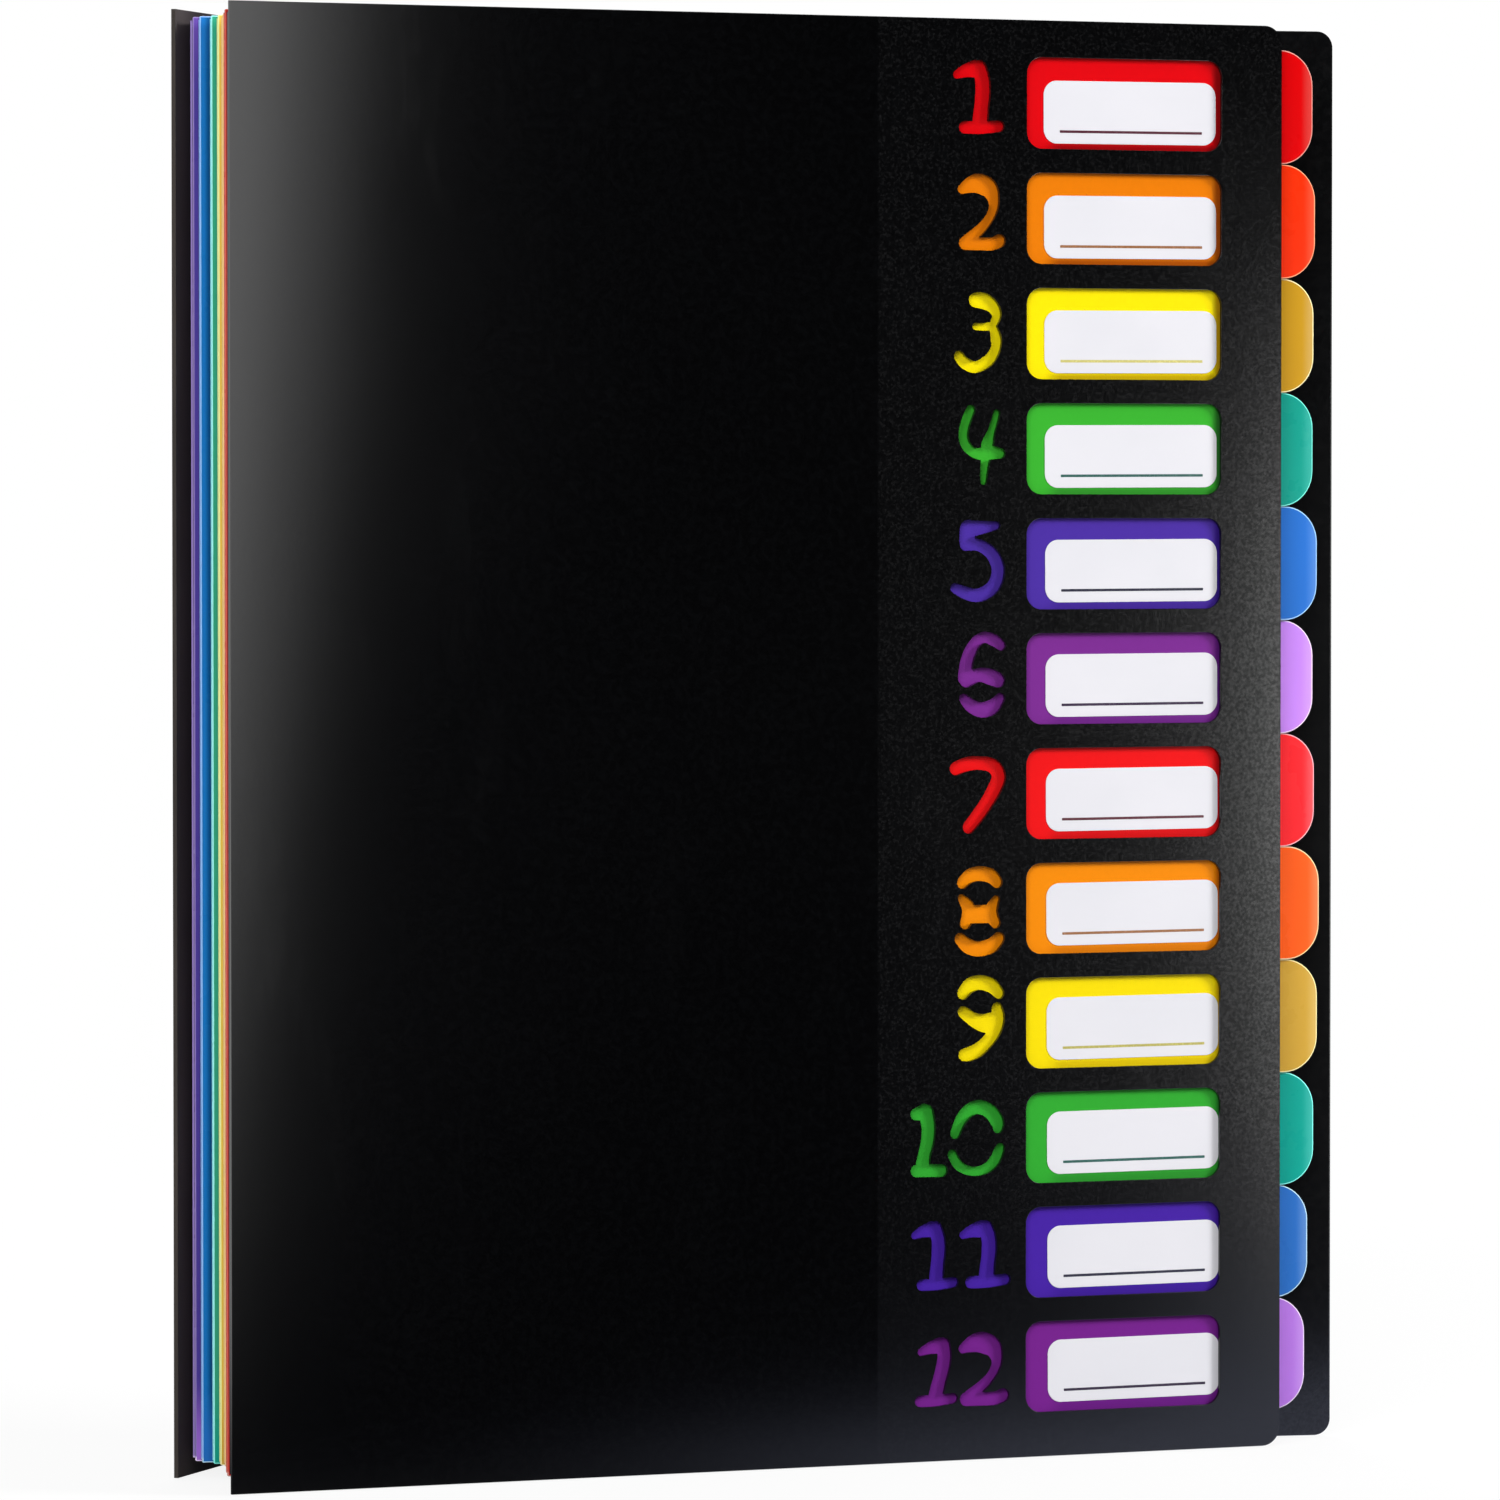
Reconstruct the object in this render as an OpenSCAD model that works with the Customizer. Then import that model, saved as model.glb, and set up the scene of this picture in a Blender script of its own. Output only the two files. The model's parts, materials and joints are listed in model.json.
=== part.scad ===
// Expanding file organizer: two stiff covers, twelve tabbed dividers and a
// slide-in index card. Every divider folds at its left edge, and the flap
// behind that fold is welded to the sheet that follows it.
// Places in the plan are [t, d]: t runs to the right from the front cover's
// left edge, and d runs back from its front face.

/* [Covers] */
// Height of both covers
cover_h = 300; // [240:5:360]
// Width of the front cover
front_w = 234; // [200:2:280]
// Thickness of both covers and of the binding strip
cover_thick = 0.9; // [0.6:0.1:1.2]
// Corner radius of the front cover
front_corner_r = 4; // [2:0.5:8]
// How far the back cover's right edge stands past the front cover's
back_reach = 18.7; // [14:0.1:30]
// Corner radius of the back cover
back_corner_r = 3.5; // [2:0.5:8]
// Gap in the plan behind the last divider, at the front cover's right edge
back_gap = 4.12; // [3:0.01:8]
// Width of the binding strip, from its free edge to the score
strip_w = 30.1; // [27:0.1:34]
// Angle at which the binding strip stands to the front cover
strip_angle = 49; // [45:1:55]
// How far the binding strip's free edge stands left of the front cover
strip_reach = 1.2; // [0:0.1:4]
// Clearance between the rolled score and the back cover
score_gap = 0.12; // [0.05:0.01:0.3]

/* [Dividers] */
// Thickness of a divider sheet
leaf_thick = 0.5; // [0.3:0.05:0.6]
// How far the dividers' top edge lies below the covers' top edge
leaf_drop = 1.6; // [0.5:0.1:4]
// Height of the dividers' bottom edge above the covers' bottom edge
leaf_lift = 3.4; // [1:0.1:4.5]
// Distance of the dividers' right edge, beside a tab, from the front cover's right edge
leaf_inset = 2; // [1:0.5:6]
// Corner radius at the fold
leaf_fold_r = 0.3; // [0.2:0.1:3]
// Corner radius at the free edge
leaf_free_r = 3; // [1:0.5:6]
// Gap in the plan from one fold to the next, at the front
fold_pitch_front = 2; // [1.8:0.1:2.4]
// Gap in the plan from one fold to the next, at the back
fold_pitch_back = 3.1; // [2.8:0.1:3.3]
// How far the middle folds sit to the right of the first fold
fold_bulge = 5.2; // [0:0.1:8]
// Gap in the plan from one divider to the next, at the front cover's right edge
edge_pitch = 0.93; // [0.75:0.01:1]
// Gap in the plan between the front cover's face and the first divider's middle
first_leaf_gap = 2.9; // [2.8:0.05:3.2]

/* [Binding flaps] */
// Thickness of a divider's binding flap
flap_thick = 0.4; // [0.3:0.05:0.45]
// Distance from a fold to the weld on the sheet behind it
flap_run = 14; // [10:0.5:18]
// Width of the weld land
weld_w = 6; // [3:0.5:8]
// Clearance of a folded flap behind its sheet
fold_gap = 0.15; // [0.1:0.01:0.2]
// How much shorter a flap is than its sheet, at each end
flap_relief = 0.7; // [0.3:0.1:3]

/* [Tabs] */
// Gap between the covers' top edge and the first tab
tab_top_gap = 4.9; // [3:0.1:10]
// Gap between the last tab and the covers' bottom edge
tab_bottom_gap = 6.1; // [5:0.1:12]
// Reach of the longest tab past the front cover's right edge
tab_reach = 13.3; // [10:0.1:18]
// Corner radius of a tab
tab_r = 7.5; // [4:0.5:10]

/* [Windows] */
// Width of a window in the front cover
window_w = 44.9; // [30:0.1:60]
// Height of the bar between two windows
window_bar_h = 5; // [3:0.1:8]
// Corner radius of a window
window_r = 3.4; // [1:0.2:5]
// Gap between the cover's top edge and the first window
window_top_gap = 7.7; // [5:0.1:12]
// Gap between the last window and the cover's bottom edge
window_bottom_gap = 9.3; // [6:0.1:14]
// Distance of the windows from the cover's right edge
window_margin = 14; // [12:0.5:18]

/* [Numbers] */
// How much smaller than a window's height the cell of a digit is
digit_trim = 0.8; // [0.2:0.1:4]
// Distance of a single digit's cell from the windows
digit_gap = 1.4; // [1:0.1:6]

/* [Index card] */
// Width of the index card
card_w = 84; // [82:0.5:85]
// How far the card's top edge lies below the cover's top edge
card_drop = 4.7; // [3:0.1:8]
// Thickness of the index card
card_thick = 0.3; // [0.2:0.05:0.35]
// Height of the card's bottom edge above the sleeve's bottom weld
card_lift = 1; // [0.5:0.5:3]
// Angle at which the card sits in its sleeve
card_skew = 0.27; // [0:0.01:0.3]
// Width of a label
label_w = 39.7; // [30:0.1:41]
// How much lower than its window a label is
label_trim = 5.9; // [5:0.1:9]
// Corner radius of a label
label_r = 3; // [1:0.2:4]
// Thickness of a label
label_thick = 0.12; // [0.08:0.01:0.15]
// How much closer together the labels are than the windows
label_creep = 0.06; // [0:0.01:0.2]
// Clearance between the labels and the cover
label_gap = 0.2; // [0.1:0.05:0.25]

/* [Clear sleeve] */
// Thickness of the sleeve's film
film_thick = 0.2; // [0.1:0.05:0.25]
// Width of the sleeve's welded rims
rim_w = 1.8; // [1:0.1:2.5]
// Clearance beside the skewed card, each side
sleeve_side_gap = 1.2; // [0.8:0.1:1.4]
// Clearance behind the card
sleeve_back_gap = 0.12; // [0.05:0.01:0.15]
// Height of the sleeve's bottom edge above the cover's
sleeve_lift = 2.5; // [1:0.5:4]
// How far the sleeve's mouth lies below the cover's top edge
sleeve_drop = 9; // [8:0.5:20]
// Radius of the thumb notch in the sleeve's mouth
notch_r = 9; // [5:0.5:14]

/* [Hidden] */
$fn = 64;
overrun = 1;
leaf_count = 12;
window_count = 12;

// Reach of each tab, front to back, as shares of the longest one
tab_reach_shares = [0.64, 0.72, 0.73, 0.75, 0.86, 0.82, 0.88, 1, 1, 0.97, 0.9, 0.88];
// Share of a half wave that the folds' bulge takes up from the first divider to the last
half_wave = 180;
bulge_share = 0.85;
// How far each fold lies to the right of that wave, front to back, as shares of the last gap
fold_stray_shares = [0, 0, 0, 0, 0, 0, 0, -0.03, 0.06, 0.09, -0.1, 0.1];

// Colours, front to back, of the dividers and of the rows on the index card
leaf_colours = ["#e00a0a", "#f24a08", "#d9a92a", "#009a8a", "#1f6fc8", "#c080f0",
    "#ff2a35", "#ff6a05", "#e0b440", "#00a89a", "#2f72c8", "#b878e8"];
black_plastic = "#17181b";

// Folds, front to back: their place in the plan and the angle of each sheet
strip_half = cover_thick / 2;
leaf_half = leaf_thick / 2;

function fold_t(k) =
    fold_bulge * sin(half_wave * bulge_share * (k - 1) / (leaf_count - 1))
    + fold_pitch_back * fold_stray_shares[k - 1];
function fold_pitch(k) =
    fold_pitch_front + (fold_pitch_back - fold_pitch_front) * (k - 1) / (leaf_count - 2);
function fold_mid_d(k) = k == 1 ? first_leaf_gap : fold_mid_d(k - 1) + fold_pitch(k - 1);
function edge_mid_d(k) = first_leaf_gap + edge_pitch * (k - 1);
function fold_d(k) = fold_mid_d(k) + leaf_half;
function leaf_angle(k) = atan((fold_mid_d(k) - edge_mid_d(k)) / (front_w - fold_t(k)));
// A length across the plan, measured along the sloping sheet
function along(k, t) = (t - fold_t(k)) / cos(leaf_angle(k));

// The binding strip runs back and to the right from its free edge to the score
strip_t = -strip_reach;
strip_d = fold_mid_d(leaf_count) + cover_thick;
score_t = strip_t + strip_w * cos(strip_angle);
score_d = strip_d + strip_w * sin(strip_angle);
// The back cover clears the last divider and reaches past the front cover
back_angle = atan((score_d - edge_mid_d(leaf_count) - back_gap) / (front_w - score_t));
back_w = (front_w + back_reach - score_t) / cos(back_angle);

// Extent of the plan, which centres the part on its origin
plan_left = strip_t - strip_half * sin(strip_angle);
plan_right = score_t + back_w * cos(back_angle) + strip_half * sin(back_angle);
plan_back = score_d + strip_half;
middle_t = (plan_left + plan_right) / 2;
middle_d = plan_back / 2;

// Rows: the windows and the tabs share the height between them
window_pitch = (cover_h - window_top_gap - window_bottom_gap + window_bar_h) / window_count;
window_h = window_pitch - window_bar_h;
tab_h = (cover_h - tab_top_gap - tab_bottom_gap) / leaf_count;
function window_z(i) = cover_h - window_top_gap - window_h / 2 - window_pitch * (i - 1);
function tab_z(k) = cover_h - tab_top_gap - tab_h * k;
leaf_h = cover_h - leaf_lift - leaf_drop;
window_t = front_w - window_margin - window_w;
digit_cell = window_h - digit_trim;
label_h = window_h - label_trim;
label_pitch = window_pitch - label_creep;

// Layers behind the front cover, front to back
label_d = cover_thick + label_gap;
card_d = label_d + label_thick;
film_d = card_d + card_thick + sleeve_back_gap;

// The sleeve and the card in it are centred on the windows and the numbers
rows_right = front_w - window_margin;
card_centre_t = rows_right + window_margin / 2 + sleeve_side_gap - card_w / 2;
sleeve_w = card_w + 2 * (sleeve_side_gap + rim_w);
sleeve_t = card_centre_t - sleeve_w / 2;
sleeve_h = cover_h - sleeve_drop - sleeve_lift;
card_z = sleeve_lift + rim_w + card_lift;
card_h = cover_h - card_drop - card_z;
card_centre_z = card_z + card_h / 2;

// The labels sit low and to the right in their windows
label_right_margin = 0.3;
label_low_margin = 1.5;
rows_centre_z = (window_z(1) + window_z(window_count)) / 2;
label_centre_t = rows_right - label_right_margin - label_w / 2;
label_centre_z = rows_centre_z - (window_h - label_h) / 2 + label_low_margin;

// Strokes of the digits 0 to 9 and of a narrow 1, as [x, z, width] shares of the digit cell
digit_shares = [
    [[[0.19, 0.58, 0.13], [0.26, 0.735, 0.15], [0.37, 0.845, 0.16], [0.50, 0.875, 0.165],
      [0.63, 0.815, 0.17], [0.715, 0.70, 0.17], [0.725, 0.635, 0.14]],
     [[0.15, 0.34, 0.12], [0.22, 0.225, 0.12], [0.33, 0.16, 0.11], [0.46, 0.14, 0.11],
      [0.59, 0.175, 0.125], [0.685, 0.26, 0.14], [0.735, 0.36, 0.135], [0.75, 0.40, 0.12]]],
    [[[0.20, 0.805, 0.10], [0.31, 0.85, 0.155], [0.43, 0.875, 0.20], [0.47, 0.885, 0.18]],
     [[0.48, 0.885, 0.18], [0.52, 0.75, 0.19], [0.525, 0.60, 0.195], [0.51, 0.45, 0.19],
      [0.495, 0.30, 0.20], [0.49, 0.23, 0.19]],
     [[0.295, 0.205, 0.145], [0.50, 0.205, 0.145], [0.73, 0.225, 0.13]]],
    [[[0.265, 0.82, 0.115], [0.37, 0.87, 0.19], [0.48, 0.885, 0.23], [0.605, 0.825, 0.22],
      [0.66, 0.70, 0.15], [0.65, 0.58, 0.12], [0.575, 0.45, 0.115], [0.46, 0.335, 0.13], [0.33, 0.25, 0.12]],
     [[0.30, 0.205, 0.155], [0.49, 0.20, 0.15], [0.64, 0.20, 0.15], [0.735, 0.235, 0.155]]],
    [[[0.435, 0.875, 0.175], [0.54, 0.865, 0.19], [0.65, 0.80, 0.155],
      [0.70, 0.71, 0.125], [0.67, 0.62, 0.105]],
     [[0.435, 0.575, 0.085], [0.55, 0.57, 0.09], [0.66, 0.585, 0.10]],
     [[0.65, 0.58, 0.10], [0.69, 0.45, 0.14], [0.69, 0.335, 0.13], [0.61, 0.20, 0.14],
      [0.44, 0.11, 0.135], [0.30, 0.155, 0.14], [0.225, 0.235, 0.125]]],
    [[[0.375, 0.94, 0.12], [0.315, 0.80, 0.125], [0.285, 0.66, 0.125], [0.315, 0.54, 0.125],
      [0.40, 0.46, 0.115], [0.50, 0.44, 0.14], [0.62, 0.455, 0.165], [0.75, 0.445, 0.12]],
     [[0.70, 0.905, 0.09], [0.67, 0.80, 0.095], [0.63, 0.68, 0.105], [0.585, 0.54, 0.16],
      [0.56, 0.37, 0.12], [0.545, 0.25, 0.105], [0.535, 0.125, 0.085]]],
    [[[0.35, 0.90, 0.20], [0.55, 0.92, 0.145], [0.70, 0.94, 0.095]],
     [[0.345, 0.90, 0.215], [0.34, 0.76, 0.215]],
     [[0.31, 0.72, 0.14], [0.48, 0.715, 0.14], [0.64, 0.615, 0.155], [0.72, 0.45, 0.17],
      [0.685, 0.28, 0.17], [0.58, 0.18, 0.165], [0.44, 0.14, 0.155], [0.30, 0.175, 0.145],
      [0.18, 0.225, 0.12]]],
    [[[0.76, 0.885, 0.12], [0.67, 0.945, 0.14], [0.55, 0.98, 0.13], [0.45, 0.93, 0.14],
      [0.375, 0.82, 0.16], [0.325, 0.68, 0.17], [0.31, 0.52, 0.19]],
     [[0.325, 0.50, 0.19], [0.48, 0.55, 0.16], [0.62, 0.53, 0.19], [0.725, 0.485, 0.17]],
     [[0.29, 0.28, 0.12], [0.38, 0.20, 0.16], [0.52, 0.15, 0.18],
      [0.655, 0.185, 0.18], [0.745, 0.28, 0.13]]],
    [[[0.19, 0.80, 0.155], [0.33, 0.85, 0.165], [0.50, 0.86, 0.155], [0.655, 0.825, 0.17],
      [0.73, 0.71, 0.18], [0.68, 0.57, 0.18], [0.575, 0.40, 0.17], [0.46, 0.25, 0.165],
      [0.355, 0.13, 0.155]]],
    [[[0.275, 0.81, 0.14], [0.36, 0.885, 0.165], [0.49, 0.915, 0.17],
      [0.63, 0.885, 0.17], [0.71, 0.81, 0.14]],
     [[0.265, 0.635, 0.10], [0.36, 0.50, 0.18], [0.315, 0.345, 0.14]],
     [[0.695, 0.615, 0.10], [0.63, 0.47, 0.18], [0.69, 0.345, 0.13]],
     [[0.37, 0.45, 0.21], [0.61, 0.45, 0.21]],
     [[0.245, 0.17, 0.14], [0.34, 0.09, 0.175], [0.48, 0.05, 0.175],
      [0.64, 0.085, 0.18], [0.73, 0.165, 0.155]]],
    [[[0.285, 0.865, 0.15], [0.37, 0.955, 0.175], [0.50, 0.985, 0.17],
      [0.64, 0.945, 0.17], [0.735, 0.855, 0.135]],
     [[0.71, 0.685, 0.14], [0.72, 0.57, 0.18], [0.68, 0.44, 0.185], [0.61, 0.325, 0.16],
      [0.48, 0.215, 0.17], [0.37, 0.17, 0.165], [0.30, 0.16, 0.15]],
     [[0.285, 0.65, 0.14], [0.41, 0.565, 0.165], [0.53, 0.52, 0.21], [0.65, 0.52, 0.24]]],
    [[[0.10, 0.815, 0.145], [0.20, 0.835, 0.20]],
     [[0.225, 0.83, 0.19], [0.25, 0.70, 0.18], [0.255, 0.60, 0.175], [0.24, 0.48, 0.17],
      [0.205, 0.35, 0.165], [0.185, 0.24, 0.18]],
     [[0.105, 0.165, 0.15], [0.25, 0.165, 0.15], [0.42, 0.16, 0.15]]]
];
narrow_one = 10;
// Digits of the numbers from 10 on: which strokes, then their start, lift, breadth, height
// and lean as shares of the digit cell
number_shares = [
    [[narrow_one, -0.4, 0, 1, 1, 0], [0, 0, 0, 1, 1, 0]],
    [[1, -0.5, -0.02, 0.92, 0.95, 0], [1, 0.09, 0, 1, 0.91, 0]],
    [[1, -0.56, -0.03, 0.94, 0.94, 0.17], [2, 0.01, -0.03, 1.06, 0.95, 0]]
];

// Points on a smooth curve through the knots, span by span
span_steps = 4;
cap_steps = 6;
function knot(p, i) = p[max(0, min(len(p) - 1, i))];
function blend(a, b, c, d, u) =
    (2 * b + (c - a) * u + (2 * a - 5 * b + 4 * c - d) * u * u
    + (3 * b - a - 3 * c + d) * u * u * u) / 2;
function smooth_line(p) = [
    for (i = [0:len(p) - 2], s = [0:span_steps - (i == len(p) - 2 ? 0 : 1)])
        blend(knot(p, i - 1), knot(p, i), knot(p, i + 1), knot(p, i + 2), s / span_steps)];
function heading(q, i) =
    let (a = knot(q, i - 1), b = knot(q, i + 1)) atan2(b[1] - a[1], b[0] - a[0]);
function beside(q, i, turn) =
    let (h = heading(q, i) + turn)
    [q[i][0] + cos(h) * q[i][2] / 2, q[i][1] + sin(h) * q[i][2] / 2];
function stroke_outline(q) = let (n = len(q) - 1) concat(
    [for (i = [0:n]) beside(q, i, -90)],
    [for (s = [1:cap_steps - 1]) beside(q, n, -90 + 180 * s / cap_steps)],
    [for (i = [n:-1:0]) beside(q, i, 90)],
    [for (s = [1:cap_steps - 1]) beside(q, 0, 90 + 180 * s / cap_steps)]);

// The strokes of one digit, with its start, lift, breadth, height and lean in the cell
module digit(strokes, start, lift, breadth, height, lean) {
    for (knots = digit_shares[strokes]) {
        placed = [for (k = knots) digit_cell * [
            start + k[0] * breadth + k[1] * lean, lift + k[1] * height, k[2] * breadth]];
        polygon(stroke_outline(smooth_line(placed)));
    }
}

// A row's number, in a cell centred on its window
module row_number(i) {
    translate([window_t - digit_gap - digit_cell, window_z(i) - digit_cell / 2])
        if (i < 10) digit(i, 0, 0, 1, 1, 0);
        else for (n = number_shares[i - 10]) digit(n[0], n[1], n[2], n[3], n[4], n[5]);
}

// Moves a flat outline in the X-Z plane to a sheet that lies in front of y = 0
module sheet(thick) {
    rotate([90, 0, 0]) linear_extrude(thick) children();
}

module corner_cut(r) {
    difference() {
        translate([-overrun, -overrun]) square(r + overrun);
        translate([r, r]) circle(r);
    }
}

// A rectangle with its left corners and its right corners rounded
module rounded(w, h, left_r, right_r) {
    difference() {
        square([w, h]);
        if (left_r > 0) {
            corner_cut(left_r);
            translate([0, h]) mirror([0, 1]) corner_cut(left_r);
        }
        if (right_r > 0) {
            translate([w, 0]) mirror([1, 0]) corner_cut(right_r);
            translate([w, h]) mirror([1, 0]) mirror([0, 1]) corner_cut(right_r);
        }
    }
}

// Places children from the plan in the part's frame
module in_plan() {
    translate([-middle_t, -middle_d, 0]) children();
}

module at_leaf(k) {
    in_plan() translate([fold_t(k), fold_d(k), 0]) rotate([0, 0, -leaf_angle(k)]) children();
}

module at_strip() {
    in_plan() translate([strip_t, strip_d, 0]) rotate([0, 0, strip_angle]) children();
}

// A place in the plan, seen from a sheet that starts at "from" and is turned by "turn"
function seen_from(place, from, turn) =
    let (v = place - from)
    [v[0] * cos(turn) + v[1] * sin(turn), v[1] * cos(turn) - v[0] * sin(turn)];

// Plan of a flap: it leaves the fold of the sheet in front, crosses the gap
// and lies flat on the carrying sheet, whose front face is at y = face
module flap_plan(fold, lean, face, thick) {
    start = fold + fold_gap * [sin(lean), cos(lean)];
    polygon([
        start,
        [flap_run, face - thick],
        [flap_run + weld_w, face - thick],
        [flap_run + weld_w, face],
        [flap_run, face],
        start + [0, thick]
    ]);
}

module flap_body(h, fold, lean, face, thick) {
    translate([0, 0, leaf_lift + flap_relief])
        linear_extrude(h - 2 * flap_relief) flap_plan(fold, lean, face, thick);
}

module divider(k) {
    w = along(k, front_w - leaf_inset);
    tab_end = along(k, front_w + tab_reach * tab_reach_shares[k - 1]);
    color(leaf_colours[k - 1]) at_leaf(k) sheet(leaf_thick) {
        translate([0, leaf_lift]) rounded(w, leaf_h, leaf_fold_r, leaf_free_r);
        translate([w - tab_r, tab_z(k)]) rounded(tab_end - w + tab_r, tab_h, 0, tab_r);
    }
}

// The flap behind the fold of divider k, on the divider or the strip that carries it
module binding_flap(k) {
    color(leaf_colours[k - 1])
    if (k < leaf_count) {
        turn = -leaf_angle(k + 1);
        fold = seen_from([fold_t(k), fold_d(k)], [fold_t(k + 1), fold_d(k + 1)], turn);
        at_leaf(k + 1)
            flap_body(leaf_h, fold, leaf_angle(k) - leaf_angle(k + 1), -leaf_thick, flap_thick);
    } else {
        fold = seen_from([fold_t(k), fold_d(k)], [strip_t, strip_d], strip_angle);
        at_strip()
            flap_body(leaf_h, fold, leaf_angle(k) + strip_angle, -strip_half, flap_thick);
    }
}

module cover_binding_flap() {
    fold = seen_from([0, cover_thick], [fold_t(1), fold_d(1)], -leaf_angle(1));
    color(black_plastic) at_leaf(1)
        flap_body(leaf_h, fold, -leaf_angle(1), -leaf_thick, flap_thick);
}

module binding_strip() {
    color(black_plastic) at_strip() {
        translate([0, -strip_half, 0]) cube([strip_w, cover_thick, cover_h]);
        translate([strip_w, 0, 0]) cylinder(h = cover_h, r = strip_half);
    }
}

module back_cover() {
    start = strip_half + score_gap;
    color(black_plastic)
    in_plan() translate([score_t, score_d, 0]) rotate([0, 0, -back_angle])
        translate([start, strip_half, 0])
            sheet(cover_thick) rounded(back_w - start, cover_h, 0, back_corner_r);
}

module window_outline(i) {
    translate([window_t, window_z(i) - window_h / 2])
        rounded(window_w, window_h, window_r, window_r);
}

module front_cover() {
    color(black_plastic) in_plan() translate([0, cover_thick, 0]) difference() {
        sheet(cover_thick) rounded(front_w, cover_h, 0, front_corner_r);
        translate([0, overrun, 0]) sheet(cover_thick + 2 * overrun)
            for (i = [1:window_count]) {
                window_outline(i);
                row_number(i);
            }
    }
}

// Film with three welded rims; its mouth is at the top
module clear_sleeve() {
    rim_depth = film_d - cover_thick;
    color("#cfd8dc", 0.4) in_plan() translate([sleeve_t, 0, sleeve_lift]) {
        translate([0, film_d + film_thick, 0]) sheet(film_thick) difference() {
            square([sleeve_w, sleeve_h]);
            translate([sleeve_w / 2, sleeve_h]) circle(notch_r);
        }
        translate([0, film_d, 0]) sheet(rim_depth) difference() {
            square([sleeve_w, sleeve_h]);
            translate([rim_w, rim_w]) square([sleeve_w - 2 * rim_w, sleeve_h]);
        }
    }
}

// Places children on the card, which sits slightly askew about its centre
module on_card() {
    in_plan() translate([card_centre_t, 0, card_centre_z]) rotate([0, -card_skew, 0])
        translate([-card_centre_t, 0, -card_centre_z]) children();
}

module index_card() {
    color("#fbfbf6") on_card()
        translate([card_centre_t - card_w / 2, card_d + card_thick, card_z])
            sheet(card_thick) square([card_w, card_h]);
}

module label(i) {
    row = (window_count + 1) / 2 - i;
    color("white") on_card()
        translate([label_centre_t - label_w / 2, card_d,
                label_centre_z + label_pitch * row - label_h / 2])
            sheet(label_thick) rounded(label_w, label_h, label_r, label_r);
}

function two_digits(k) = str(k < 10 ? "0" : "", k);

back_cover();
binding_strip();
for (k = [1:leaf_count]) {
    divider(k);
    binding_flap(k);
}
cover_binding_flap();
front_cover();
clear_sleeve();
index_card();
for (i = [1:window_count])
    label(i);
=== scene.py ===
"""Looks for the expanding file organizer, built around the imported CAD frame.

The binding strip keeps its CAD mesh. Every other sheet is its CAD solid's own mesh, copied and cleaned to
flat faces. The dividers, the back cover and the sleeve get a thin band along their edges, and the dividers,
the covers, the card and the labels get softened edges.
"""

import json
import math

import bmesh
import bpy
from mathutils import Matrix, Vector

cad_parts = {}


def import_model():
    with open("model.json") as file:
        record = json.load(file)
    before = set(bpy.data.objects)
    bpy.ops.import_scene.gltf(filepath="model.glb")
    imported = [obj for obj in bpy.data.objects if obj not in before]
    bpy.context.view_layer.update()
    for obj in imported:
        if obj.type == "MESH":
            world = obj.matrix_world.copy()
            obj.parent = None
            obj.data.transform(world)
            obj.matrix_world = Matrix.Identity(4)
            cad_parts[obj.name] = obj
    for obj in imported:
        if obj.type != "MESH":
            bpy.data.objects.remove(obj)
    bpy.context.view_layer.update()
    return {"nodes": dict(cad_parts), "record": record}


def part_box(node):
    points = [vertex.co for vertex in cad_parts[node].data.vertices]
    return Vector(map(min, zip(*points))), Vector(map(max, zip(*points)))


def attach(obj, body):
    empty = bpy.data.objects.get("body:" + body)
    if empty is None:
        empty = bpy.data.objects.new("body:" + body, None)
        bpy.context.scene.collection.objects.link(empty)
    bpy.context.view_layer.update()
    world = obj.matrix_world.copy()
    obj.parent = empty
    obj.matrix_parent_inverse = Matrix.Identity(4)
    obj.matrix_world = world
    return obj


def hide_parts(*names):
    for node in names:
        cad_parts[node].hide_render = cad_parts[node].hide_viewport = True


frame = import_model()
MM = 0.001
BODY_OF = {n: b for b, ns in frame["record"]["behaviour"]["bodies"].items() for n in ns}

# The photo's camera, solved from its perspective: place, tilt and turn in degrees, lens in mm
CAMERA_AT = (-0.66438, -1.60932, 0.1979)
CAMERA_TILT, CAMERA_TURN, CAMERA_LENS = -1.6491, -22.3837, 199.582

# Places that the materials use, from the CAD solids' own boxes
COVER_LO, COVER_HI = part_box("front_cover")
SLEEVE_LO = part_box("clear_sleeve")[0]
CARD_LO, CARD_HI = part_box("index_card")
LABEL_BOXES = [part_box("label_%02d" % i) for i in range(1, 13)]
LABEL_MIDS = [(lo + hi) / 2 for lo, hi in LABEL_BOXES]
LEAF_BOXES = [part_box("divider_%02d" % i) for i in range(1, 13)]
LEAF_BOTTOM, LEAF_TOP = LEAF_BOXES[0][0].z, LEAF_BOXES[0][1].z
STRIP_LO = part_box("binding_strip")[0]
SKEW = math.atan2(LABEL_MIDS[0].x - LABEL_MIDS[11].x, LABEL_MIDS[0].z - LABEL_MIDS[11].z)
PITCH = (LABEL_MIDS[0] - LABEL_MIDS[11]).length / 11
CARD_MID = (CARD_LO + CARD_HI) / 2
# The cover's windows: their distance from its right edge, and their width
WINDOW_MARGIN, WINDOW_WIDTH = 14 * MM, 44.9 * MM
WINDOW_RIGHT = COVER_HI.x - WINDOW_MARGIN
WINDOW_LEFT = WINDOW_RIGHT - WINDOW_WIDTH
# How far the card's coloured rows sit above the labels' middles
ROW_LIFT = 0.9 * MM

# Scale of the plastic's fine grain
GRAIN = 1500
# Satin of the black plastic, and how much rougher it is where it lies against the sleeve
SATIN, SLEEVE_SATIN = 0.163, 0.055
# Specular level of the tinted sheets and the strip, which hardly mirror the studio
SOFT_GLOSS = 0.12


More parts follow.
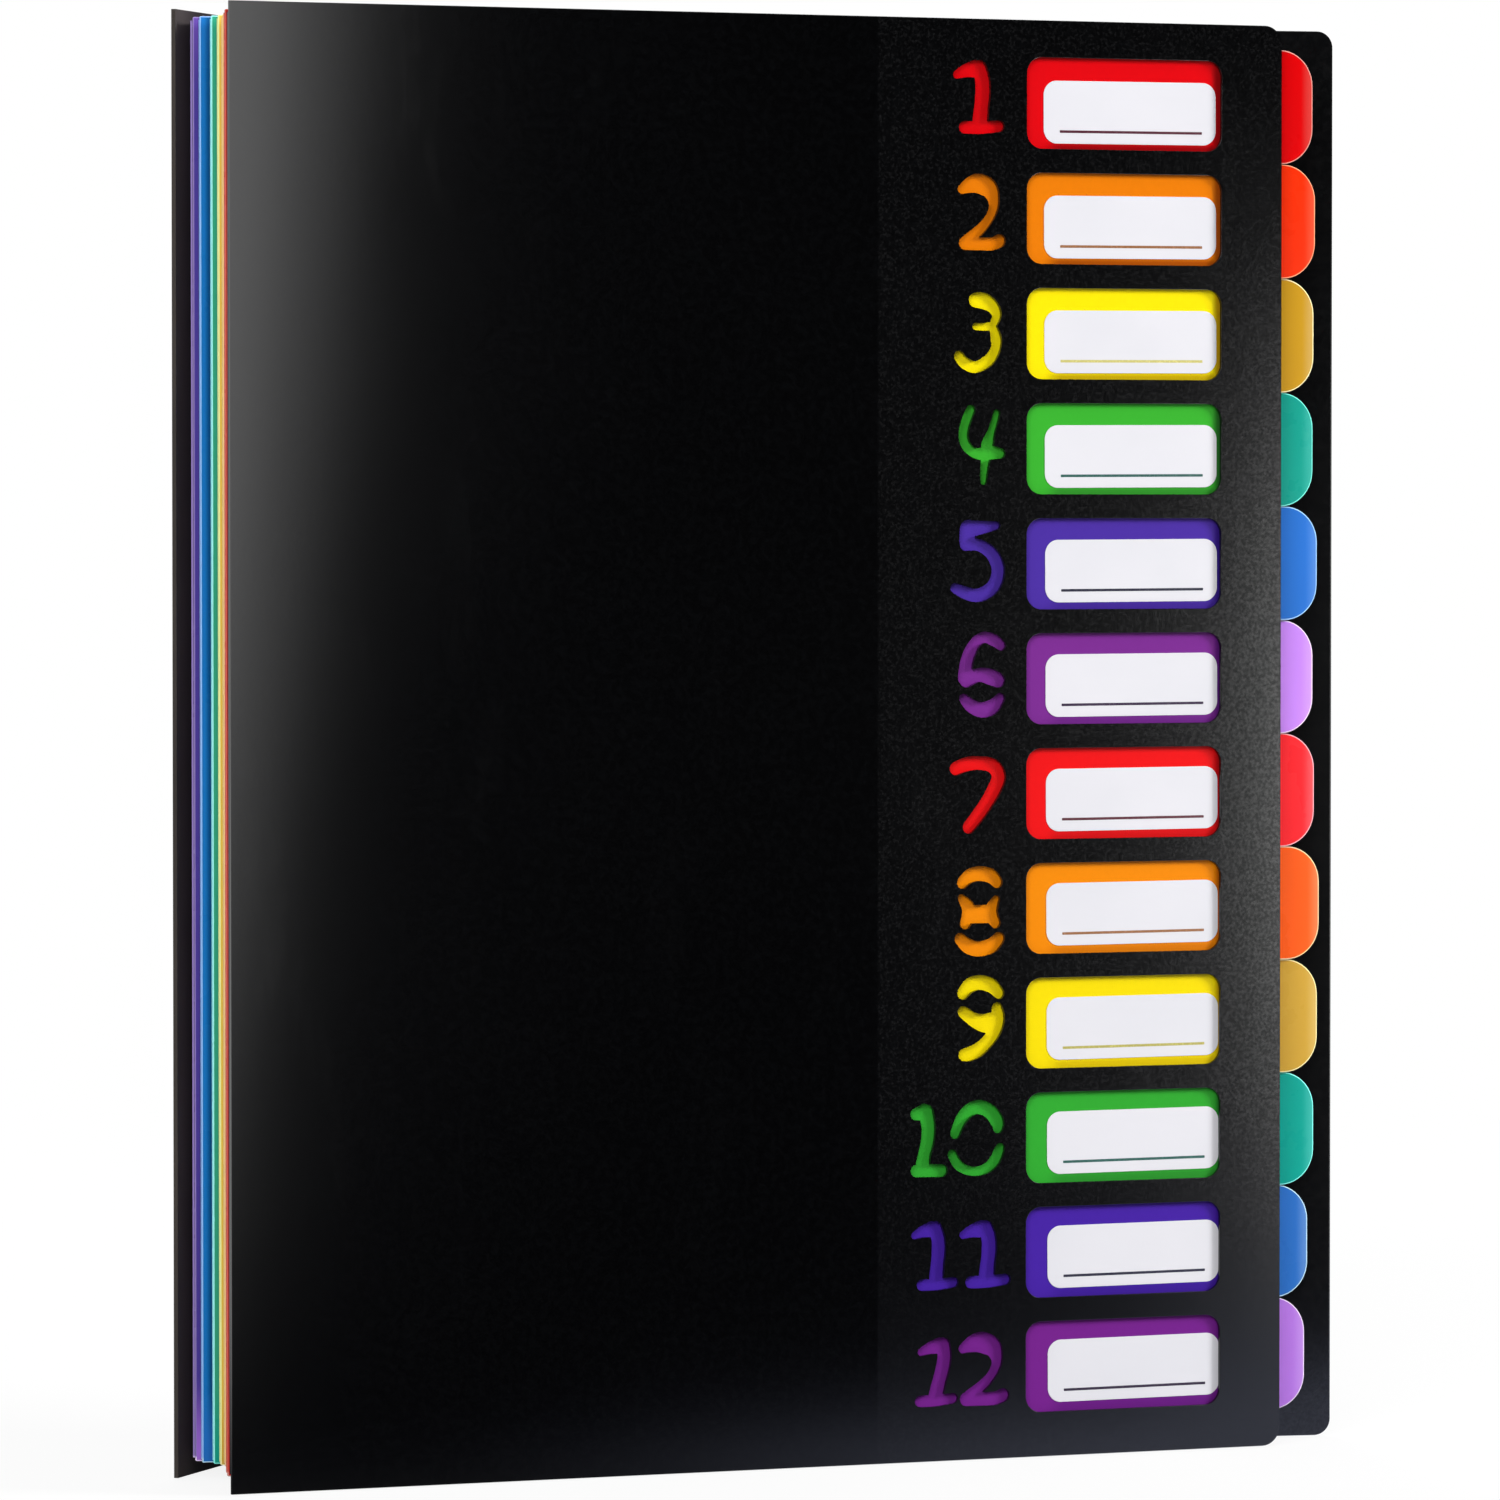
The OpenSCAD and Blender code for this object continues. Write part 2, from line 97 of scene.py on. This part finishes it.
def srgb(code):
    "Linear colour of a #rrggbb code."
    parts = [int(code[i:i + 2], 16) / 255 for i in (1, 3, 5)]
    return tuple(c / 12.92 if c <= 0.04045 else ((c + 0.055) / 1.055) ** 2.4 for c in parts) + (1.0,)


# Materials

class Nodes:
    "The node tree of a material or the world, with short calls for the nodes that it needs."

    def __init__(self, owner, output="ShaderNodeOutputMaterial"):
        owner.use_nodes = True
        self.owner = owner
        self.tree = owner.node_tree
        self.tree.nodes.clear()
        self.out = self.tree.nodes.new(output)

    def link(self, a, b):
        self.tree.links.new(a, b)

    def put(self, socket, value):
        if isinstance(value, bpy.types.NodeSocket):
            self.link(value, socket)
        elif value is not None:
            socket.default_value = value

    def node(self, kind, **sets):
        n = self.tree.nodes.new(kind)
        for k, v in sets.items():
            setattr(n, k, v)
        return n

    def place(self):
        return self.node("ShaderNodeTexCoord").outputs["Object"]

    def split(self, vector):
        n = self.node("ShaderNodeSeparateXYZ")
        self.link(vector, n.inputs[0])
        return n.outputs

    def math(self, kind, a, b=None, c=None):
        n = self.node("ShaderNodeMath", operation=kind)
        for socket, value in zip(n.inputs, (a, b, c)):
            self.put(socket, value)
        return n.outputs[0]

    def fade(self, value, start, end, low=0.0, high=1.0):
        "low at start, high at end, smooth between them and clamped outside."
        n = self.node("ShaderNodeMapRange", interpolation_type="SMOOTHSTEP", clamp=True)
        for socket, v in zip(n.inputs, (value, start, end, low, high)):
            self.put(socket, v)
        return n.outputs[0]

    def noise(self, scale, detail=2.0, rough=0.5, stretch=None):
        vector = self.place()
        if stretch:
            m = self.node("ShaderNodeMapping")
            m.inputs["Scale"].default_value = stretch
            self.link(vector, m.inputs["Vector"])
            vector = m.outputs[0]
        n = self.node("ShaderNodeTexNoise")
        self.link(vector, n.inputs["Vector"])
        n.inputs["Scale"].default_value = scale
        n.inputs["Detail"].default_value = detail
        n.inputs["Roughness"].default_value = rough
        return n.outputs["Fac"]

    def mix(self, fac, a, b, kind="MIX"):
        n = self.node("ShaderNodeMix", data_type="RGBA", blend_type=kind)
        self.put(n.inputs[0], fac)
        self.put(n.inputs[6], a)
        self.put(n.inputs[7], b)
        return n.outputs[2]

    def mix_values(self, fac, a, b):
        n = self.node("ShaderNodeMix", data_type="FLOAT")
        for socket, value in zip(n.inputs[:1] + n.inputs[2:4], (fac, a, b)):
            self.put(socket, value)
        return n.outputs[0]

    def steps(self, value, stops):
        "The colour of the last stop that value has passed."
        n = self.node("ShaderNodeValToRGB")
        n.color_ramp.interpolation = "CONSTANT"
        e = n.color_ramp.elements
        e[0].position, e[0].color = stops[0]
        e[1].position, e[1].color = stops[1]
        for at, colour in stops[2:]:
            e.new(at).color = colour
        self.link(value, n.inputs[0])
        return n.outputs[0]

    def rim(self):
        "The thin edge band: 1 at the edge, 0 on the open face."
        return self.node("ShaderNodeAttribute", attribute_name="rim").outputs["Fac"]

    def bump(self, height, distance, strength):
        n = self.node("ShaderNodeBump")
        n.inputs["Distance"].default_value = distance
        self.put(n.inputs["Strength"], strength)
        self.link(height, n.inputs["Height"])
        return n.outputs[0]

    def surface(self, kind, colour):
        "A plain shader of one colour."
        n = self.node(kind)
        self.put(n.inputs[0], colour)
        return n.outputs[0]

    def blend_surfaces(self, fac, a, b):
        n = self.node("ShaderNodeMixShader")
        for socket, value in zip(n.inputs, (fac, a, b)):
            self.put(socket, value)
        return n.outputs[0]

    def direct(self):
        "1 for camera rays and for rays through glass."
        path = self.node("ShaderNodeLightPath")
        return self.math("MAXIMUM", path.outputs["Is Camera Ray"], path.outputs["Is Transmission Ray"])

    def in_gloss(self):
        return self.node("ShaderNodeLightPath").outputs["Is Glossy Ray"]

    def shader(self, **sets):
        n = self.node("ShaderNodeBsdfPrincipled")
        for k, v in sets.items():
            self.put(n.inputs[k.replace("_", " ")], v)
        self.link(n.outputs[0], self.out.inputs[0])
        return self.owner


def material(name):
    return Nodes(bpy.data.materials.new(name))


def black_plastic(name, deep, lifted, sleeve_grain):
    "Satin black polypropylene with a fine pebble grain, coarser over the card's sleeve."
    m = material(name)
    x, _, z = m.split(m.place())
    grain = m.noise(GRAIN, 1.0, 0.5)
    cloud = m.noise(14, 2.0)
    tone = m.fade(m.noise(700, 2.0, 0.6), 0.35, 0.75)
    colour = m.mix(tone, deep, lifted)
    scuffs = m.fade(m.noise(60, 6.0, 0.7, stretch=(1, 1, 0.25)), 0.56, 0.72)
    rough = m.math("ADD", m.math("MULTIPLY", cloud, 0.05), m.math("MULTIPLY", scuffs, 0.03))
    rough = m.math("ADD", rough, SATIN)
    if sleeve_grain:
        over = m.fade(x, SLEEVE_LO.x - 0.2 * MM, SLEEVE_LO.x + 0.5 * MM)
        coarse = m.math("MULTIPLY", over, m.fade(z, 15 * MM, 80 * MM, 0.15, 1.0))
        pebbles = m.fade(grain, 0.3, 0.7, -0.17, 0.17)
        level = m.math("MULTIPLY_ADD", coarse, pebbles, 0.5)
        level = m.math("MULTIPLY_ADD", over, 0.06, level)
        specks = m.math("MULTIPLY", coarse, m.fade(grain, 0.52, 0.7))
        colour = m.mix(specks, colour, (0.0042, 0.0042, 0.0046, 1))
        rough = m.math("MULTIPLY_ADD", over, SLEEVE_SATIN, rough)
    else:
        level = m.fade(grain, 0.3, 0.7, 0.44, 0.56)
    return m.shader(Base_Color=colour, Roughness=rough, IOR=1.45, Specular_IOR_Level=level,
                    Normal=m.bump(grain, 0.01 * MM, 0.4))


def strip_plastic(name):
    "The binding strip's black plastic: its cut front edge is the lightest, and it darkens backwards."
    m = material(name)
    deep = m.math("SUBTRACT", m.split(m.place())[1], STRIP_LO.y)
    # painted light: edge is a painted highlight for the front-facing cut edge; face to far is painted shade
    # going back
    edge, face, far = (0.055, 0.047, 0.042, 1), (0.085, 0.070, 0.074, 1), (0.008, 0.003, 0.012, 1)
    plain = (0.0035, 0.0034, 0.0038, 1)
    facing = m.split(m.node("ShaderNodeTexCoord").outputs["Normal"])
    # only faces turned to the right show the painted shade; the other faces stay plain black
    colour = m.mix(m.fade(deep, 1.6 * MM, 9 * MM), face, far)
    colour = m.mix(m.fade(facing[0], 0.2, 0.6), plain, colour)
    colour = m.mix(m.fade(facing[1], -0.6, -0.72), colour, edge)
    # random streaks that weaken the painted light
    painted_light_streaks = m.fade(m.noise(40, 4.0, 0.6, stretch=(1, 1, 0.3)), 0.35, 0.75, 1.0, 0.6)
    colour = m.mix(painted_light_streaks, plain, colour)
    return m.shader(Base_Color=colour, Roughness=0.55, IOR=1.45, Specular_IOR_Level=SOFT_GLOSS,
                    Normal=m.bump(m.noise(GRAIN, 2.0, 0.6), 0.08 * MM, 0.1))


def leaf_plastic(name, tab, tab_edge_highlight, fold, fold_edge_highlight, box):
    """Tinted translucent sheet: painted shade beside its fold, and painted highlights on its cut edges."""
    m = material(name)
    x, _, z = m.split(m.place())
    from_fold = m.math("SUBTRACT", x, box[0].x)
    # painted shade: within 3 to 9 mm of the fold the sheet takes its fold tone, its look in the shade
    # between sheets
    beside = m.fade(from_fold, 9 * MM, 3 * MM)
    # where that painted shade gives way to the tab tone: near the foot, and a little near the top
    low = m.math("MAXIMUM", m.fade(z, LEAF_BOTTOM + 18 * MM, LEAF_BOTTOM + 1 * MM, 0.0, 0.75),
                 m.fade(z, LEAF_TOP - 16 * MM, LEAF_TOP - 1 * MM, 0.0, 0.15))
    # painted shadow of the next sheet in front, from about 1.9 mm beside the fold onwards
    shadow = tuple(c * 0.4 for c in fold[:3]) + (1.0,)
    body = m.mix(m.fade(from_fold, 0.7 * MM, 1.9 * MM), fold, shadow)
    # painted highlight: the tab grows paler towards its right end
    right_end_highlight = m.fade(x, box[1].x - 3 * MM, box[1].x - 0.3 * MM, 0.0, 0.14)
    deeper = m.math("MULTIPLY", beside, m.math("SUBTRACT", 1.0, low))
    body = m.mix(deeper, m.mix(right_end_highlight, tab, tab_edge_highlight), body)
    cloud = m.math("MULTIPLY", m.fade(m.noise(22, 2.0), 0.2, 0.8), 0.1)
    body = m.mix(cloud, body, shadow)
    grain = m.noise(GRAIN, 2.0, 0.5)
    # painted highlight along the cut edges; the fold side, but for its foot, takes the fold's tint in a
    # narrower band
    foot = m.fade(z, LEAF_BOTTOM + 1.2 * MM, LEAF_BOTTOM + 0.6 * MM)
    thin = m.math("MULTIPLY", beside, m.math("SUBTRACT", 1.0, foot))
    highlight_mask = m.mix(thin, m.fade(m.rim(), 0.05, 0.8), m.fade(m.rim(), 0.6, 1.0))
    colour = m.mix(highlight_mask, body, m.mix(thin, tab_edge_highlight, fold_edge_highlight))
    rough = m.math("MULTIPLY_ADD", m.noise(90, 3.0, 0.6), 0.08, 0.24)
    return m.shader(Base_Color=colour, Roughness=rough, IOR=1.49, Specular_IOR_Level=SOFT_GLOSS,
                    Normal=m.bump(grain, 0.006 * MM, 0.25))


def card_print(name, rows):
    """The index card: matt white, twelve bands of print, and painted shadow at their lower and right sides.
    """
    m = material(name)
    x, y, z = m.split(m.place())
    sx = m.math("SUBTRACT", x, CARD_MID.x)
    sz = m.math("SUBTRACT", z, CARD_MID.z)
    cos, sin = math.cos(SKEW), math.sin(SKEW)
    along = m.math("ADD", m.math("MULTIPLY", sz, cos), m.math("MULTIPLY", sx, sin))
    across = m.math("SUBTRACT", m.math("MULTIPLY", sx, cos), m.math("MULTIPLY", sz, sin))
    low = (LABEL_MIDS[0].z + LABEL_MIDS[11].z) / 2 + ROW_LIFT - CARD_MID.z - 6 * PITCH
    height = m.math("DIVIDE", m.math("SUBTRACT", along, low), 12 * PITCH)
    stops = [(i / 12, c) for i, c in enumerate(reversed(rows))]
    colour = m.steps(height, stops)
    within = m.math("FRACT", m.math("MULTIPLY", height, 12.0))
    left_end, right_end = WINDOW_LEFT - CARD_MID.x, WINDOW_RIGHT - CARD_MID.x
    # painted shadow of the windows' edges on the card: along each window's right edge, and along the bands'
    # lower sides
    right = m.fade(across, right_end - 1.5 * MM, right_end + 0.2 * MM)
    # from 4 mm into the window, strongest in the upper rows
    under = m.math("MULTIPLY", m.fade(within, 0.22, 0.15), m.fade(height, 0.55, 0.95, 0.4, 1.0))
    under = m.math("MULTIPLY", under, m.fade(across, left_end + 4 * MM, left_end + 9 * MM))
    shade = m.math("MAXIMUM", right, under)
    dark = m.mix(shade, colour, (0.42, 0.30, 0.55, 1), "MULTIPLY")
    paper = m.noise(900, 4.0, 0.6)
    print_and_painted_shadow = m.mix(m.math("MULTIPLY", paper, 0.16), dark, (0.55, 0.55, 0.55, 1), "MULTIPLY")
    # the back and the cut edges stay white
    front = m.fade(y, CARD_LO.y + 0.06 * MM, CARD_LO.y + 0.03 * MM)
    final = m.mix(front, m.mix(paper, (0.80, 0.79, 0.76, 1), (0.86, 0.85, 0.83, 1)), print_and_painted_shadow)
    return m.shader(Base_Color=final, Roughness=m.math("MULTIPLY_ADD", paper, 0.1, 0.5), IOR=1.3,
                    Specular_IOR_Level=0.2, Normal=m.bump(paper, 0.01 * MM, 0.3))


def label_paper(name):
    m = material(name)
    fibre = m.noise(1200, 4.0, 0.65)
    cloud = m.fade(m.noise(35, 2.0), 0.3, 0.7)
    colour = m.mix(cloud, (0.68, 0.67, 0.71, 1), (0.65, 0.645, 0.685, 1))
    colour = m.mix(m.math("MULTIPLY", fibre, 0.1), colour, (0.70, 0.70, 0.72, 1))
    return m.shader(Base_Color=colour, Roughness=0.62, Normal=m.bump(fibre, 0.008 * MM, 0.3))


def ruled_ink(name, colour):
    m = material(name)
    speckle = m.noise(2600, 2.0, 0.6)
    pale = tuple(min(1, c * 1.35 + 0.03) for c in colour[:3]) + (1.0,)
    return m.shader(Base_Color=m.mix(m.fade(speckle, 0.45, 0.75), colour, pale), Roughness=0.5)


def clear_film(name):
    m = material(name)
    haze = m.fade(m.noise(40, 3.0, 0.6), 0.35, 0.7, 0.24, 0.34)
    ripple = m.noise(55, 2.0, 0.5, stretch=(1, 1, 0.3))
    # painted highlight: the film is paler along its cut edge
    return m.shader(Base_Color=m.mix(m.rim(), (0.80, 0.84, 0.87, 1), (0.93, 0.95, 0.97, 1)), Roughness=0.14,
                    IOR=1.49, Alpha=haze, Normal=m.bump(ripple, 0.15 * MM, 0.3))


# Tints of the sheets, front to back: tab and its painted edge highlight, painted shade beside the fold and
# its highlight
LEAF_TINTS = [
    ("#d00206", "#e0988c", "#a01c20", "#d85c4c"), ("#ec2e04", "#ffa880", "#b03c0c", "#ffb070"),
    ("#bf8f18", "#fff4c0", "#b08818", "#fff090"), ("#009888", "#80f0e0", "#00706a", "#70ffe8"),
    ("#1f6cc8", "#a8d4ff", "#1458a8", "#90c0ff"), ("#c888f4", "#f8e4ff", "#6846a8", "#d0b0ff"),
    ("#fb1c28", "#ffb8c0", "#b83430", "#ffe0c8"), ("#fb5c04", "#ffe0b0", "#c87834", "#ffd890"),
    ("#cca038", "#fff4b8", "#f0cc58", "#f4ffb0"), ("#00a294", "#90fff4", "#3aa886", "#a8ffff"),
    ("#2e72c8", "#c8ecff", "#1878c4", "#98c4ff"), ("#c080ee", "#f4e0ff", "#52429c", "#9480c0"),
]
ROWS = ["#d2000a", "#de7600", "#f0dc00", "#36a82c", "#462b98", "#742888",
        "#e20e12", "#e88400", "#ecd400", "#2ea02e", "#421f9a", "#6f1f84"]
INKS = ["#480f24", "#8a5a35", "#c0b868", "#165048", "#0e0e28", "#240a30",
        "#4c1222", "#8a5a35", "#a8a050", "#165048", "#0e0e28", "#1c0826"]

FRONT_BLACKS = (0.0006, 0.0006, 0.0008, 1), (0.0014, 0.0015, 0.0018, 1)
BACK_BLACKS = (0.0022, 0.0023, 0.0026, 1), (0.0044, 0.0045, 0.0048, 1)
cover_mat = black_plastic("cover_black_front", *FRONT_BLACKS, sleeve_grain=True)
back_mat = black_plastic("cover_black_back", *BACK_BLACKS, sleeve_grain=False)
strip_mat = strip_plastic("cover_black_strip")
leaf_mats = [leaf_plastic("leaf_%02d" % (i + 1), *(srgb(t) for t in tints), LEAF_BOXES[i])
             for i, tints in enumerate(LEAF_TINTS)]
card_mat = card_print("card_bands", [srgb(c) for c in ROWS])
label_mat = label_paper("label_paper")
film_mat = clear_film("sleeve_film")


# Pieces

def cleaned(node):
    "The node's mesh as a bmesh of flat faces."
    bm = bmesh.new()
    bm.from_mesh(frame["nodes"][node].data)
    bmesh.ops.remove_doubles(bm, verts=bm.verts, dist=1e-6)
    bmesh.ops.dissolve_limit(bm, angle_limit=math.radians(0.5), verts=bm.verts, edges=bm.edges)
    return bm


def outline(faces):
    "Edges round a set of faces."
    inside = set(faces)
    return [e for f in faces for e in f.edges if sum(g in inside for g in e.link_faces) == 1]


def dressed(node, look, rings=(), bevel=0.0, segments=2, keep=lambda e: True, smooth=False,
            holed=False):
    """A piece on the node's own mesh: bands in from the edge of its two broad faces, and softened edges.

    The bands' widths and the bevel are in mm. A holed sheet's broad faces may be in several parts, so small
    ones in the same direction count too.
    """
    bm = cleaned(node)
    rim = bm.verts.layers.float.new("rim")
    for v in bm.verts:
        v[rim] = 1.0
    widest = max(f.calc_area() for f in bm.faces)
    normal = max(bm.faces, key=lambda f: f.calc_area()).normal.copy()
    broad = [f for f in bm.faces
             if abs(f.normal.dot(normal)) > 0.9999 and (holed or f.calc_area() > 0.1 * widest)]
    edges = [e for e in outline(broad) if keep(e)]
    for width, highlight_mask in rings:
        bmesh.ops.inset_region(bm, faces=broad, thickness=width * MM, use_even_offset=True,
                               use_boundary=True)
        for f in broad:
            for v in f.verts:
                v[rim] = highlight_mask
    if bevel:
        edges = [e for e in edges if e.is_valid]
        bmesh.ops.bevel(bm, geom=edges, offset=bevel * MM, segments=segments, profile=0.5, affect="EDGES",
                        clamp_overlap=False)
    for f in bm.faces:
        f.smooth = smooth
    mesh = bpy.data.meshes.new(node + "_sheet")
    bm.normal_update()
    bm.to_mesh(mesh)
    bm.free()
    # the solid's own corner normals don't fit the new faces
    if "custom_normal" in mesh.attributes:
        mesh.attributes.remove(mesh.attributes["custom_normal"])
    if smooth:
        mesh.set_sharp_from_angle(angle=math.radians(50))
    piece = bpy.data.objects.new(node + "_sheet", mesh)
    bpy.context.scene.collection.objects.link(piece)
    mesh.materials.append(look)
    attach(piece, BODY_OF[node])
    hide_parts(node)


# How far from the cover's outline, and from the windows' column, an edge may lie to be rounded
OUTLINE_REACH, WINDOW_REACH = 4.5 * MM, 0.3 * MM


def window_or_outline(e):
    "True for the cover's outer outline and its windows, whose edges are rounded. The numbers' stay sharp."
    mid = (e.verts[0].co + e.verts[1].co) / 2
    near = min(mid.x - COVER_LO.x, COVER_HI.x - mid.x, mid.z, COVER_HI.z - mid.z) < OUTLINE_REACH
    return near or WINDOW_LEFT - WINDOW_REACH < mid.x < WINDOW_RIGHT + WINDOW_REACH


# Width in mm of each band inwards from a sheet's edge, and the painted highlight's strength at its inner
# side
LEAF_RINGS = ((0.2, 1.0), (0.07, 0.0))
for i in range(12):
    dressed("divider_%02d" % (i + 1), leaf_mats[i], LEAF_RINGS, bevel=0.1, smooth=True)
    dressed("binding_flap_%02d" % (i + 1), leaf_mats[i])
dressed("cover_binding_flap", back_mat)
dressed("back_cover", back_mat, rings=((0.4, 0.0),), bevel=0.18, smooth=True)
dressed("front_cover", cover_mat, bevel=0.08, keep=window_or_outline, holed=True)
dressed("clear_sleeve", film_mat, rings=((0.3, 0.0),))
dressed("index_card", card_mat, bevel=0.05, segments=1)
for i in range(12):
    dressed("label_%02d" % (i + 1), label_mat, bevel=0.03, segments=1)
strip = frame["nodes"]["binding_strip"]
strip.data.materials.clear()
strip.data.materials.append(strip_mat)


def rule(i):
    "The ruled line on a label: a thin printed bar, along the label's own tilt and just sunk into it."
    lo, hi = LABEL_BOXES[i]
    mid = LABEL_MIDS[i]
    half, thick, rise, sunk = 16.4 * MM, 0.27 * MM, 0.03 * MM, 0.005 * MM
    aside, above_edge = 0.2 * MM, 2.6 * MM
    bm = bmesh.new()
    made = bmesh.ops.create_cube(bm, size=1.0)
    bmesh.ops.scale(bm, vec=(2 * half, rise, 2 * thick), verts=made["verts"])
    uprights = [e for e in bm.edges if abs(e.verts[0].co.y - e.verts[1].co.y) > rise / 2]
    bmesh.ops.bevel(bm, geom=uprights, offset=0.12 * MM, segments=3, profile=0.5, affect="EDGES")
    drop = -(hi.z - lo.z) / 2 + above_edge
    at = Matrix.Translation((mid.x, lo.y - rise / 2 + sunk, mid.z)) @ Matrix.Rotation(SKEW, 4, "Y")
    bmesh.ops.transform(bm, matrix=at @ Matrix.Translation((aside, 0, drop)), verts=bm.verts)
    mesh = bpy.data.meshes.new("rule_%02d" % (i + 1))
    bm.to_mesh(mesh)
    bm.free()
    piece = bpy.data.objects.new("rule_%02d" % (i + 1), mesh)
    bpy.context.scene.collection.objects.link(piece)
    mesh.materials.append(ruled_ink("ink_%02d" % (i + 1), srgb(INKS[i])))
    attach(piece, "index_card")


for i in range(12):
    rule(i)


# Stage

def floor():
    """A white floor that keeps a soft shadow near the object and runs out into the white background.

    Gloss shows it white behind the object, and dark in front, but for a glowing patch there, paler to the
    right, that the cover mirrors.
    """
    bm = bmesh.new()
    bmesh.ops.create_circle(bm, cap_ends=True, cap_tris=False, segments=96, radius=1.6)
    mesh = bpy.data.meshes.new("floor")
    bm.to_mesh(mesh)
    bm.free()
    obj = bpy.data.objects.new("floor", mesh)
    obj.location = (0, 0, -0.0002)
    bpy.context.scene.collection.objects.link(obj)
    m = material("floor_white")
    x, y, _ = m.split(m.place())
    r = m.math("SQRT", m.math("ADD", m.math("MULTIPLY", x, x), m.math("MULTIPLY", y, y)))
    near = m.fade(r, 1.0, 0.35, 0.0, 0.13)
    speck = m.mix(m.noise(3, 2.0), (0.86, 0.86, 0.86, 1), (0.88, 0.88, 0.88, 1))
    lit = m.surface("ShaderNodeBsdfDiffuse", speck)
    white = m.surface("ShaderNodeEmission", (1, 1, 1, 1))
    dull = m.surface("ShaderNodeBsdfDiffuse", (0.35, 0.35, 0.35, 1))
    # the place on the cover that mirrors this place on the floor towards the photo's camera
    run = m.math("DIVIDE", m.math("SUBTRACT", COVER_LO.y, y), COVER_LO.y - CAMERA_AT[1])
    on_cover = m.math("DIVIDE", m.math("MULTIPLY_ADD", run, CAMERA_AT[0], x), m.math("ADD", run, 1.0))
    # a glow seen only in gloss, paler and bluer to the right, that paints a reflection on the cover's lower
    # right
    along = m.math("POWER", m.fade(on_cover, -0.11, 0.10), 1.4)
    reach = m.fade(on_cover, 0.07, 0.11, -0.18, -0.50)
    reflected_glow = m.math("MULTIPLY", m.fade(y, reach, -0.05), m.math("ADD", along, 0.025))
    dark = m.surface("ShaderNodeEmission", m.mix(reflected_glow, (0.008, 0.008, 0.01, 1), (0.86, 0.93, 1.28, 1)))
    seen = m.blend_surfaces(near, white, lit)
    mirrored = m.blend_surfaces(m.fade(y, -0.1, 0.4), dark, seen)
    shown = m.blend_surfaces(m.in_gloss(), dull, mirrored)
    m.link(m.blend_surfaces(m.direct(), shown, seen), m.out.inputs[0])
    mesh.materials.append(m.owner)


def world():
    "A white background, in gloss only behind the object, and a plain soft light from behind and above."
    w = bpy.data.worlds.new("studio")
    bpy.context.scene.world = w
    m = Nodes(w, "ShaderNodeOutputWorld")
    _, back, up = m.split(m.node("ShaderNodeTexCoord").outputs["Generated"])
    above = m.fade(up, 0.25, 0.9, 0.0, 0.45)
    light = m.math("MAXIMUM", m.fade(back, -0.35, 0.35, 0.012, 0.42), above)
    gloss = m.math("MAXIMUM", m.fade(back, -0.2, 0.45, 0.006, 1.0), above)
    strength = m.mix_values(m.direct(), m.mix_values(m.in_gloss(), light, gloss), 1.0)
    white = m.node("ShaderNodeBackground")
    white.inputs[0].default_value = (1, 1, 1, 1)
    m.link(strength, white.inputs[1])
    m.link(white.outputs[0], m.out.inputs[0])


def lamp(name, at, towards, size, watts, sheen_only=False, lean=0.0, in_gloss=True):
    "A softbox. One for sheen only is seen in the gloss and doesn't light the colours."
    data = bpy.data.lights.new(name, "AREA")
    data.shape = "ELLIPSE" if sheen_only else "RECTANGLE"
    data.size, data.size_y = size
    data.energy = watts
    obj = bpy.data.objects.new(name, data)
    obj.location = at
    turn = (Vector(towards) - Vector(at)).to_track_quat("-Z", "Y").to_euler()
    turn.rotate_axis("Z", lean)
    obj.rotation_euler = turn
    obj.visible_camera = False
    obj.visible_diffuse = not sheen_only
    obj.visible_glossy = in_gloss
    bpy.context.scene.collection.objects.link(obj)


def sheen(name, x, z, width, height, watts, lean=0.0, out=0.18):
    "An oval softbox just in front of the cover, which only gloss sees. Two that overlap differ in out."
    lamp(name, (x, -out, z), (x, 0, z), (width, height), watts, sheen_only=True, lean=lean)


def camera():
    data = bpy.data.cameras.new("camera")
    data.lens, data.sensor_width = CAMERA_LENS, 36.0
    data.clip_start, data.clip_end = 0.05, 20
    obj = bpy.data.objects.new("camera", data)
    obj.location = CAMERA_AT
    obj.rotation_euler = (math.radians(90 + CAMERA_TILT), 0, math.radians(CAMERA_TURN))
    bpy.context.scene.collection.objects.link(obj)
    bpy.context.scene.camera = obj


floor()
world()
camera()
AIM = (0, 0, 0.15)
lamp("key", at=(-1.25, -1.65, 1.05), towards=AIM, size=(1.3, 1.1), watts=38)
lamp("fill", at=(1.9, -1.2, 1.0), towards=AIM, size=(0.8, 0.8), watts=57, in_gloss=False)
lamp("rear", at=(0.4, 1.6, 1.3), towards=AIM, size=(1.4, 1.0), watts=18)
sheen("left_sheen", x=-0.1605, z=0.362, width=0.204, height=0.881, watts=1.033, lean=-0.0327)
sheen("left_sheen_wide", x=-0.2049, z=0.1589, width=0.2876, height=1.098, watts=0.813, lean=-0.1532,
      out=0.182)
sheen("right_sheen", x=0.232, z=0.131, width=0.092, height=0.27, watts=0.362)

scene = bpy.context.scene
scene.view_settings.view_transform = "Standard"
